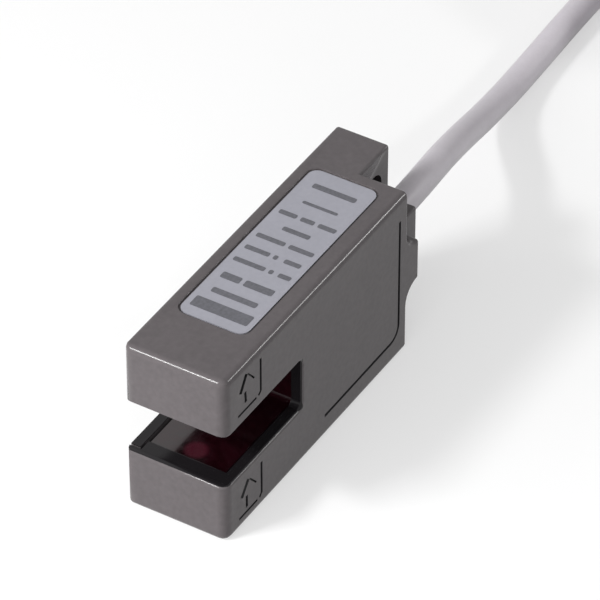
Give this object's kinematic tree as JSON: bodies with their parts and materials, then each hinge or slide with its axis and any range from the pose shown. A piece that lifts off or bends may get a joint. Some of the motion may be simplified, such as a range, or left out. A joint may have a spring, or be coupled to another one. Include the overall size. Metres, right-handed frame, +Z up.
{
  "type": "fork sensor",
  "caption": "Small fork-shaped light barrier with a narrow slot between two legs, screw ears, a foil label place and a cable tied in a hank.",
  "frame": {"origin": "middle of the housing's lower face, which the part stands on; the cable isn't counted", "axes": "+X from the tips of the legs towards the cable, +Y out of the flat back that holds the cover, +Z up out of the face with the label"},
  "size_m": [0.1792, 0.0398, 0.023],
  "materials": {
    "black_moulding": "dark grey-black moulded plastic with a fine satin grain",
    "infrared_filter_red": "almost black dark red polished plastic that passes infrared light",
    "label_foil": "silver-grey satin foil with plain dark bars in place of print",
    "holder_black": "matt black moulded plastic",
    "emitter_epoxy": "clear bluish moulded epoxy",
    "receiver_epoxy": "smoked moulded epoxy",
    "tinned_wire": "tinned copper wire",
    "board_green": "green solder-masked glass-fibre laminate",
    "chip_black": "matt black moulding compound",
    "capacitor_amber": "amber moulded case",
    "capacitor_tan": "tan ceramic with tinned ends",
    "resistor_grey": "dark grey chip with tinned ends",
    "cable_jacket": "light grey soft plastic jacket",
    "ferrule_steel": "crimped steel ring",
    "core_brown": "brown core insulation",
    "core_blue": "blue core insulation",
    "core_black": "black core insulation",
    "tie_nylon": "flat off-white plastic tie"
  },
  "bodies": {
    "root": {"housing": "black_moulding", "back_cover": "black_moulding", "infrared_filter": "infrared_filter_red", "label_plate": "label_foil", "emitter_holder": "holder_black", "receiver_holder": "holder_black", "infrared_emitter": "emitter_epoxy", "photo_receiver": "receiver_epoxy", "emitter_lead_1": "tinned_wire", "emitter_lead_2": "tinned_wire", "receiver_lead_1": "tinned_wire", "receiver_lead_2": "tinned_wire", "circuit_board": "board_green", "amplifier_chip": "chip_black", "output_transistor": "chip_black", "voltage_regulator": "chip_black", "tantalum_capacitor": "capacitor_amber", "ceramic_capacitor_1": "capacitor_tan", "ceramic_capacitor_2": "capacitor_tan", "resistor_1": "resistor_grey", "resistor_2": "resistor_grey", "resistor_3": "resistor_grey", "resistor_4": "resistor_grey", "protection_diode": "resistor_grey", "cable_inner_end": "cable_jacket", "cable_ferrule": "ferrule_steel", "wire_brown": "core_brown", "wire_blue": "core_blue", "wire_black": "core_black", "cable": "cable_jacket", "cable_hank": "cable_jacket", "cable_tail": "cable_jacket", "cable_tie": "tie_nylon", "lead_brown": "core_brown", "lead_blue": "core_blue", "lead_black": "core_black", "tinned_end_brown": "tinned_wire", "tinned_end_blue": "tinned_wire", "tinned_end_black": "tinned_wire"}
  },
  "joints": []
}
